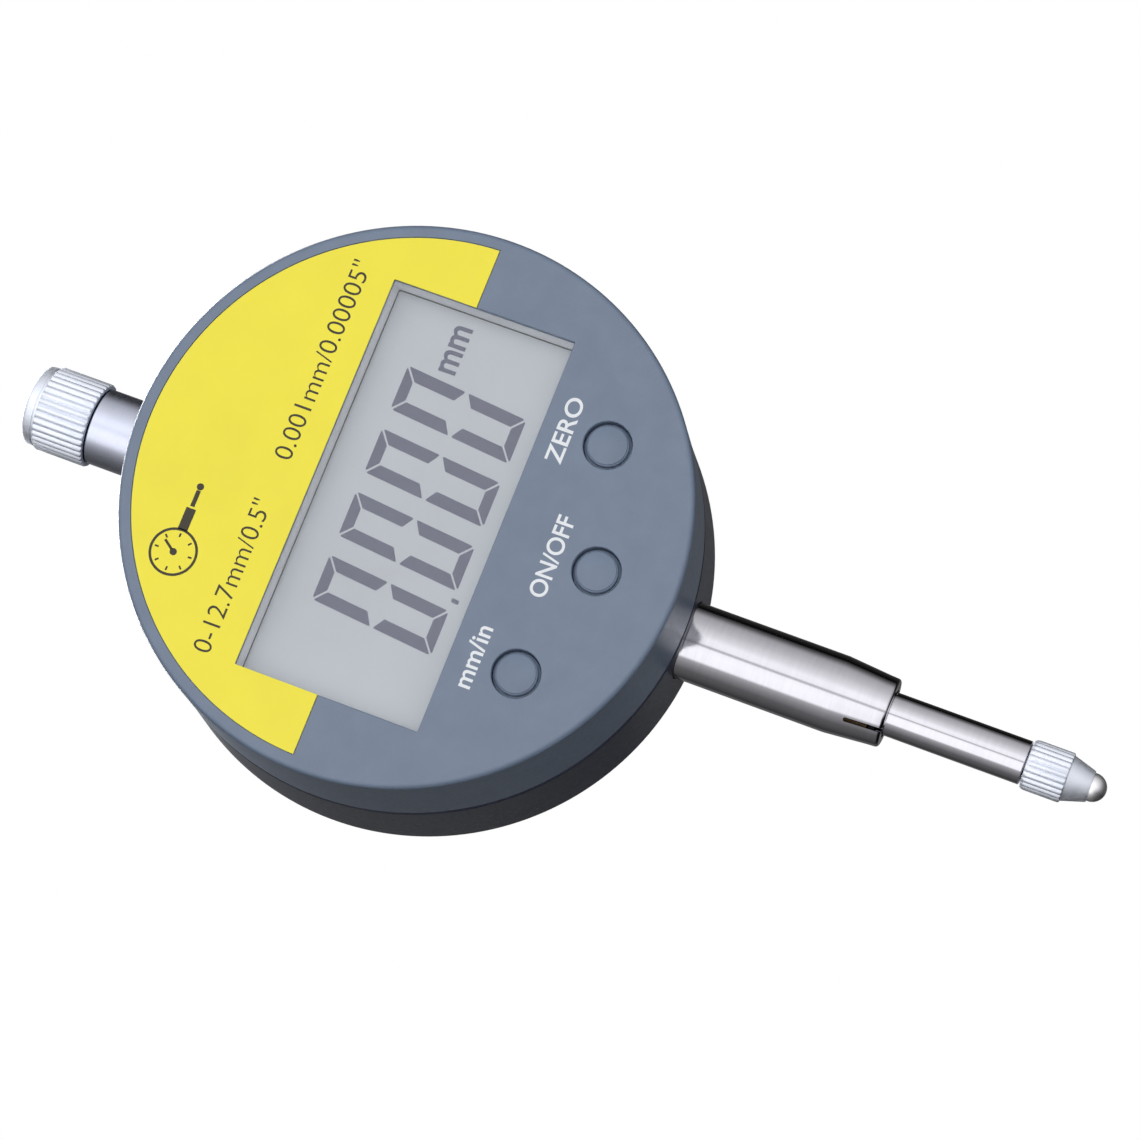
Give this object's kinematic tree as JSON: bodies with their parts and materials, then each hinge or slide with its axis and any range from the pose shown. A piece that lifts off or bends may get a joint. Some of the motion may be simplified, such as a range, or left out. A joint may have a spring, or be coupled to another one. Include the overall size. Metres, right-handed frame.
{
  "type": "digital dial indicator",
  "caption": "Digital dial indicator: round case with a liquid-crystal display and push buttons, clamping stem, sprung measuring spindle with a ball contact point, knurled dust cap and rear lug.",
  "frame": {"origin": "on the spindle's axis, in the middle of the clamping length of the 8 mm stem", "axes": "+Z along the spindle from the contact point towards the dust cap, -Y the way the display faces, +X to the reader's right"},
  "size_m": [0.0572, 0.0408, 0.1158],
  "materials": {
    "slate_shell": "moulded slate blue, fine satin grain",
    "dark_shell": "moulded blue-black, semi-gloss",
    "yellow_film": "printed yellow overlay film, satin",
    "grey_plastic": "light grey moulding",
    "clear_lens": "clear acrylic window",
    "liquid_crystal": "silver-grey reflective display",
    "foil": "brushed reflector foil",
    "polished_steel": "ground and polished stainless steel",
    "satin_nickel": "satin nickel plate",
    "steel": "plain machined steel",
    "bronze": "bearing bronze",
    "brass": "plain brass",
    "rubber": "black nitrile rubber",
    "circuit_board": "green solder resist",
    "black_plastic": "black moulding",
    "white_ink": "white screen print",
    "dark_ink": "dark brown screen print",
    "display_segment": "dark liquid-crystal segment"
  },
  "bodies": {
    "root": {"front_cover": "slate_shell", "rear_case": "dark_shell", "back_cover": "dark_shell", "face_label": "yellow_film", "lcd_bezel": "grey_plastic", "lcd_window": "clear_lens", "lcd_panel": "liquid_crystal", "lcd_reflector": "foil", "stem": "polished_steel", "battery_cell": "polished_steel", "neck": "satin_nickel", "case_screw_1": "steel", "case_screw_2": "steel", "case_screw_3": "steel", "case_screw_4": "steel", "pcb_screw_1": "steel", "pcb_screw_2": "steel", "pcb_screw_3": "steel", "spring_anchor_pin": "steel", "return_spring": "steel", "chassis": "steel", "chassis_screw_1": "steel", "chassis_screw_2": "steel", "guide_rail": "steel", "lower_bush": "bronze", "upper_bush": "bronze", "battery_base_contact": "brass", "battery_side_contact": "brass", "case_gasket": "rubber", "back_gasket": "rubber", "wiper_seal": "rubber", "zebra_strip_upper": "rubber", "zebra_strip_lower": "rubber", "main_pcb": "circuit_board", "sensor_board": "circuit_board", "battery_holder": "black_plastic", "controller_chip": "black_plastic", "board_connector": "black_plastic", "zero_button_switch": "black_plastic", "on_off_button_switch": "black_plastic", "unit_button_switch": "black_plastic"},
    "spindle": {"spindle": "polished_steel", "contact_point": "satin_nickel", "contact_ball": "polished_steel", "slider": "brass", "slider_screw": "steel", "scale_strip": "circuit_board", "guide_pin": "steel", "spring_hook_pin": "steel"},
    "zero_button": {"zero_button": "slate_shell", "zero_button_seal": "rubber"},
    "on_off_button": {"on_off_button": "slate_shell", "on_off_button_seal": "rubber"},
    "unit_button": {"unit_button": "slate_shell", "unit_button_seal": "rubber"},
    "dust_cap_lift": {"cap_seal": "rubber"},
    "dust_cap": {"dust_cap": "satin_nickel"},
    "battery_cap_lift": {"battery_cap_seal": "rubber"},
    "battery_cap": {"battery_cap": "dark_shell"}
  },
  "joints": [
    {"name": "spindle_slide", "type": "slide", "parent": "root", "child": "spindle", "axis": [0, 0, 1], "range_m": [0, 0.0127], "stiffness_N_per_m": 40, "springref_m": -0.02, "deforming": ["return_spring"]},
    {"name": "zero_button_press", "type": "slide", "parent": "root", "child": "zero_button", "axis": [0, 1, 0], "range_m": [0, 0.0005], "stiffness_N_per_m": 1000, "springref_m": -0.0005},
    {"name": "on_off_button_press", "type": "slide", "parent": "root", "child": "on_off_button", "axis": [0, 1, 0], "range_m": [0, 0.0005], "stiffness_N_per_m": 1000, "springref_m": -0.0005},
    {"name": "unit_button_press", "type": "slide", "parent": "root", "child": "unit_button", "axis": [0, 1, 0], "range_m": [0, 0.0005], "stiffness_N_per_m": 1000, "springref_m": -0.0005},
    {"name": "dust_cap_rise", "type": "slide", "parent": "root", "child": "dust_cap_lift", "axis": [0, 0, 1], "range_m": [0, 0.00375]},
    {"name": "dust_cap_turn", "type": "hinge", "parent": "dust_cap_lift", "child": "dust_cap", "pos_m": [0, 0, 0.0763], "axis": [0, 0, 1], "range_deg": [0, 1800]},
    {"name": "battery_cap_rise", "type": "slide", "parent": "root", "child": "battery_cap_lift", "axis": [0, 1, 0], "range_m": [0, 0.0025]},
    {"name": "battery_cap_turn", "type": "hinge", "parent": "battery_cap_lift", "child": "battery_cap", "pos_m": [0.0166, 0.0065, 0.036], "axis": [0, 1, 0], "range_deg": [0, 900]}
  ],
  "couplings": [
    {"joint": "dust_cap_turn", "follows": "dust_cap_rise", "rad_per_m": 8377.6},
    {"joint": "battery_cap_turn", "follows": "battery_cap_rise", "rad_per_m": 6283.2}
  ]
}
